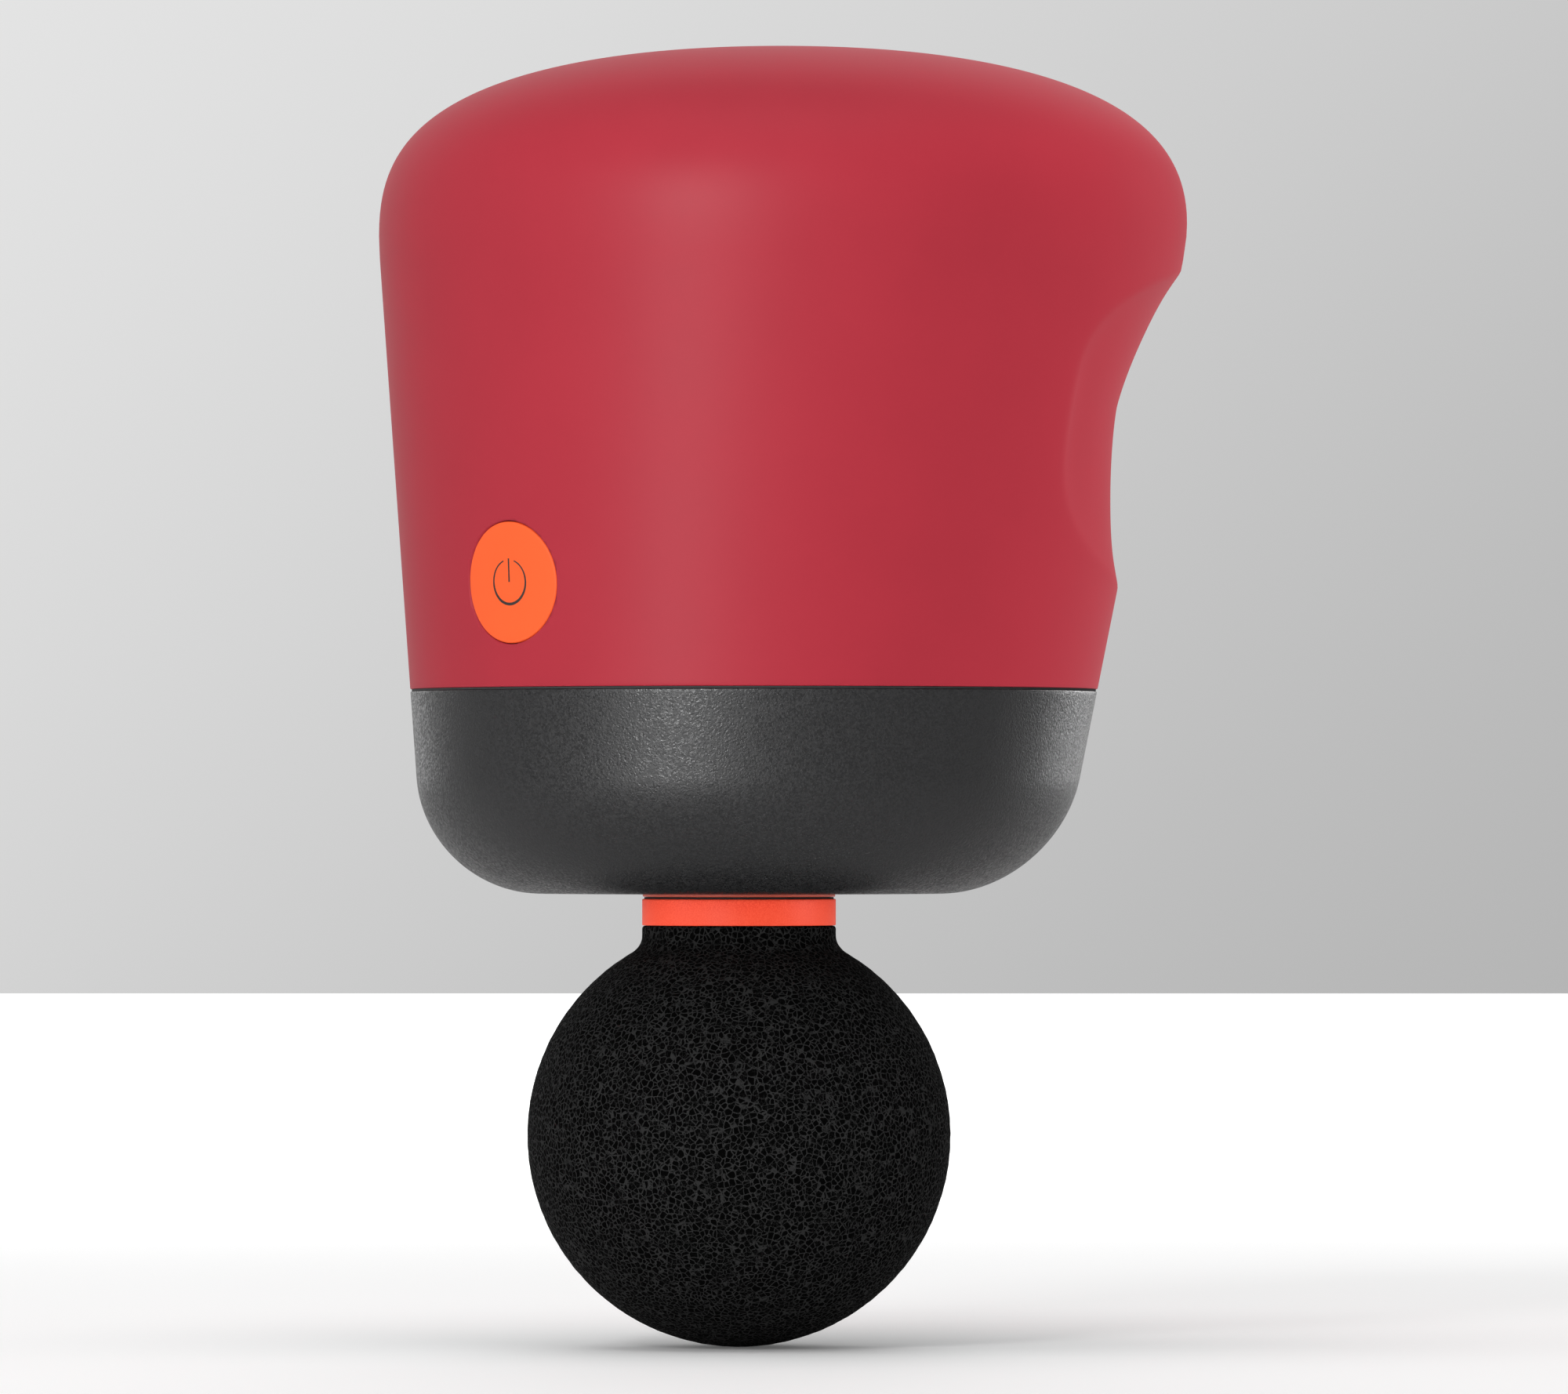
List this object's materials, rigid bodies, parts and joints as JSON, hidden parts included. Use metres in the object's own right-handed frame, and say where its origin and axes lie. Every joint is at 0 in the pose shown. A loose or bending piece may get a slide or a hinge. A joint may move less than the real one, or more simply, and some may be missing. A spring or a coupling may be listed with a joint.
{
  "type": "percussion massager",
  "caption": "Palm-size percussion massager with a red domed housing, a finger groove, a round power button and a foam ball head.",
  "frame": {"origin": "where the drive axis crosses the plane of the parting seam between the two housings", "axes": "+Z along the drive axis towards the dome, -Y towards the power button, the foam ball at -Z"},
  "size_m": [0.0762, 0.0761, 0.1229],
  "materials": {
    "red_shell": "satin moulded",
    "grained_base": "fine spark grain",
    "seal_rubber": "matt",
    "button_orange": "satin",
    "nose_orange": "satin",
    "collar_orange": "satin",
    "foam_black": "open-cell foam",
    "bearing_plastic": "moulded",
    "cast_aluminium": "die cast",
    "turned_aluminium": "turned",
    "screw_steel": "zinc plated",
    "bearing_steel": "ground",
    "lamination_steel": "stacked sheet",
    "winding_copper": "enamelled copper",
    "bell_steel": "plated",
    "magnet_metal": "plated",
    "port_steel": "stamped",
    "dark_plastic": "moulded",
    "stem_red": "moulded",
    "cushion_silicone": "soft",
    "connector_plastic": "moulded",
    "circuit_board": "solder mask",
    "cell_wrap": "shrink wrap",
    "tab_nickel": "sheet",
    "wire_yellow": "insulation",
    "wire_blue": "insulation",
    "wire_green": "insulation",
    "wire_red": "insulation",
    "wire_black": "insulation"
  },
  "bodies": {
    "housing": {"upper_housing": "red_shell", "base_housing": "grained_base", "seam_gasket": "seal_rubber", "wiper_seal": "seal_rubber", "rubber_mount_1": "seal_rubber", "rubber_mount_2": "seal_rubber", "rubber_mount_3": "seal_rubber", "nose_ring": "nose_orange", "guide_bushing": "bearing_plastic", "drive_frame": "cast_aluminium", "motor_mount": "cast_aluminium", "housing_screw_1": "screw_steel", "housing_screw_2": "screw_steel", "housing_screw_3": "screw_steel", "motor_bearing_front": "bearing_steel", "motor_bearing_rear": "bearing_steel", "stator_core": "lamination_steel", "winding_front": "winding_copper", "winding_rear": "winding_copper", "charge_port_shell": "port_steel", "charge_port_tongue": "dark_plastic", "switch_body": "dark_plastic", "control_chip": "dark_plastic", "driver_chip": "dark_plastic", "inductor": "dark_plastic", "cell_cradle": "dark_plastic", "cell_strap": "dark_plastic", "switch_stem": "stem_red", "button_cushion": "cushion_silicone", "battery_connector": "connector_plastic", "motor_connector": "connector_plastic", "main_board": "circuit_board", "charge_board": "circuit_board", "cell_front": "cell_wrap", "cell_rear": "cell_wrap", "cell_tab_left": "tab_nickel", "cell_tab_right": "tab_nickel", "motor_wire_1": "wire_yellow", "motor_wire_2": "wire_blue", "motor_wire_3": "wire_green", "cell_wire_plus": "wire_red", "cell_wire_minus": "wire_black", "charge_lead": "wire_black"},
    "power_button": {"power_button": "button_orange"},
    "drive_crank": {"crank_wheel": "turned_aluminium", "crank_roller": "bearing_steel", "motor_shaft": "bearing_steel", "rotor_bell": "bell_steel", "magnet_ring": "magnet_metal"},
    "plunger": {"plunger_sleeve": "turned_aluminium", "yoke": "bearing_plastic"},
    "massage_head": {"head_core": "collar_orange", "plug_oring_1": "seal_rubber", "plug_oring_2": "seal_rubber", "head_collar": "collar_orange", "foam_ball": "foam_black"}
  },
  "joints": [
    {"name": "crank_turn", "type": "hinge", "parent": "housing", "child": "drive_crank", "pos_m": [0, 0, 0.018], "axis": [0, 1, 0], "range_deg": [0, 180]},
    {"name": "plunger_stroke", "type": "slide", "parent": "housing", "child": "plunger", "axis": [0, 0, -1], "range_m": [0, 0.006]},
    {"name": "head_pull_off", "type": "slide", "parent": "plunger", "child": "massage_head", "axis": [0, 0, -1], "range_m": [0, 0.02]},
    {"name": "button_press", "type": "slide", "parent": "housing", "child": "power_button", "axis": [0, 1, 0], "range_m": [0, 0.0004], "stiffness_N_per_m": 900}
  ],
  "couplings": [
    {"joint": "plunger_stroke", "follows": "crank_turn", "m_per_rad": 0.0019099}
  ]
}
